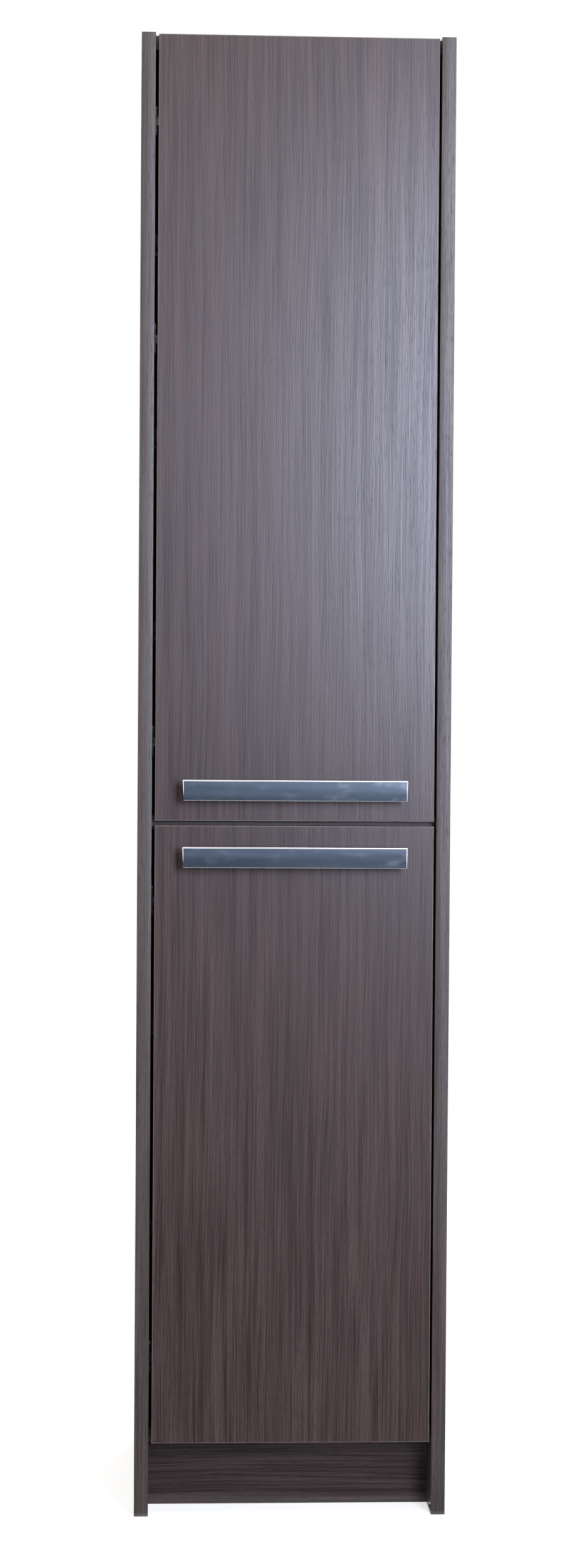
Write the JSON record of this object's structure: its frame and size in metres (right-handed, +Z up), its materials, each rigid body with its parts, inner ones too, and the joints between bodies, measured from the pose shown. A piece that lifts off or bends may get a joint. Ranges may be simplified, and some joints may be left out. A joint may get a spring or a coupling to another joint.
{
  "type": "linen cabinet",
  "caption": "Tall narrow bathroom linen cabinet in dark streaked laminate, with an upper and a lower inset door on concealed hinges, flat chrome bar handles, shelves and a recessed toe kick",
  "frame": {"origin": "on the floor, under the middle of the box round the cabinet and its handles", "axes": "+X to the cabinet's right seen from the front, +Y to the wall behind it, +Z up"},
  "size_m": [0.4, 0.43, 1.89],
  "materials": {
    "carcass_laminate": "dark streaked wood-grain laminate, satin",
    "door_laminate": "dark streaked wood-grain laminate, grain upright, semi-gloss",
    "plinth_laminate": "dark streaked wood-grain laminate, grain across, satin",
    "edge_band": "thin laminate banding, a little paler than the boards",
    "hardboard": "thin brown fibre board",
    "chrome": "polished chrome plate",
    "hinge_nickel": "pressed steel with nickel plate",
    "plated_steel": "bright zinc-plated steel",
    "cast_zinc": "bare die-cast zinc",
    "beech": "fluted beech dowel",
    "clear_pad": "soft clear stop pad"
  },
  "bodies": {
    "carcass": {"left_side_panel": "carcass_laminate", "right_side_panel": "carcass_laminate", "top_panel": "carcass_laminate", "fixed_shelf": "carcass_laminate", "bottom_panel": "carcass_laminate", "back_panel": "hardboard", "toe_kick": "plinth_laminate", "hanging_rail": "carcass_laminate", "rear_base_rail": "carcass_laminate", "upper_shelf_1": "carcass_laminate", "upper_shelf_2": "carcass_laminate", "upper_shelf_3": "carcass_laminate", "lower_shelf_1": "carcass_laminate", "lower_shelf_2": "carcass_laminate", "side_edge_bands": "edge_band", "fixed_panel_edge_bands": "edge_band", "shelf_edge_bands": "edge_band", "shelf_pins": "plated_steel", "cam_housings": "cast_zinc", "cam_bolts": "plated_steel", "dowels": "beech", "back_nails": "plated_steel", "stop_pads": "clear_pad", "upper_hinge_arm_1": "hinge_nickel", "upper_hinge_arm_2": "hinge_nickel", "upper_hinge_arm_3": "hinge_nickel", "lower_hinge_arm_1": "hinge_nickel", "lower_hinge_arm_2": "hinge_nickel", "upper_hinge_plate_1": "hinge_nickel", "upper_hinge_plate_2": "hinge_nickel", "upper_hinge_plate_3": "hinge_nickel", "lower_hinge_plate_1": "hinge_nickel", "lower_hinge_plate_2": "hinge_nickel", "hinge_arm_pins": "plated_steel", "hinge_arm_screws": "plated_steel", "hinge_plate_screws": "plated_steel"},
    "upper_outer_links": {"upper_outer_links": "hinge_nickel"},
    "upper_inner_links": {"upper_inner_links": "hinge_nickel"},
    "upper_door": {"upper_door": "door_laminate", "upper_door_edge_bands": "edge_band", "upper_handle": "chrome", "upper_handle_screws": "plated_steel", "upper_cup_pins": "plated_steel", "upper_cup_screws": "plated_steel", "upper_hinge_cup_1": "hinge_nickel", "upper_hinge_cup_2": "hinge_nickel", "upper_hinge_cup_3": "hinge_nickel"},
    "lower_outer_links": {"lower_outer_links": "hinge_nickel"},
    "lower_inner_links": {"lower_inner_links": "hinge_nickel"},
    "lower_door": {"lower_door": "door_laminate", "lower_door_edge_bands": "edge_band", "lower_handle": "chrome", "lower_handle_screws": "plated_steel", "lower_cup_pins": "plated_steel", "lower_cup_screws": "plated_steel", "lower_hinge_cup_1": "hinge_nickel", "lower_hinge_cup_2": "hinge_nickel"}
  },
  "joints": [
    {"name": "upper_door_swing", "type": "hinge", "parent": "upper_outer_links", "child": "upper_door", "pos_m": [-0.16768, -0.16714, 1.39], "axis": [0, 0, -1], "range_deg": [0, 125.73]},
    {"name": "upper_outer_link_turn", "type": "hinge", "parent": "carcass", "child": "upper_outer_links", "pos_m": [-0.141, -0.14244, 1.39], "axis": [0, 0, 1], "range_deg": [0, 30.73]},
    {"name": "upper_inner_link_turn", "type": "hinge", "parent": "carcass", "child": "upper_inner_links", "pos_m": [-0.14422, -0.16995, 1.39], "axis": [0, 0, 1], "range_deg": [0, 53.37]},
    {"name": "lower_door_swing", "type": "hinge", "parent": "lower_outer_links", "child": "lower_door", "pos_m": [-0.16768, -0.16714, 0.49], "axis": [0, 0, -1], "range_deg": [0, 125.73]},
    {"name": "lower_outer_link_turn", "type": "hinge", "parent": "carcass", "child": "lower_outer_links", "pos_m": [-0.141, -0.14244, 0.49], "axis": [0, 0, 1], "range_deg": [0, 30.73]},
    {"name": "lower_inner_link_turn", "type": "hinge", "parent": "carcass", "child": "lower_inner_links", "pos_m": [-0.14422, -0.16995, 0.49], "axis": [0, 0, 1], "range_deg": [0, 53.37]}
  ],
  "couplings": [
    {"joint": "upper_outer_link_turn", "follows": "upper_door_swing", "ratio": 0.24441},
    {"joint": "upper_inner_link_turn", "follows": "upper_door_swing", "ratio": 0.42448},
    {"joint": "lower_outer_link_turn", "follows": "lower_door_swing", "ratio": 0.24441},
    {"joint": "lower_inner_link_turn", "follows": "lower_door_swing", "ratio": 0.42448}
  ]
}
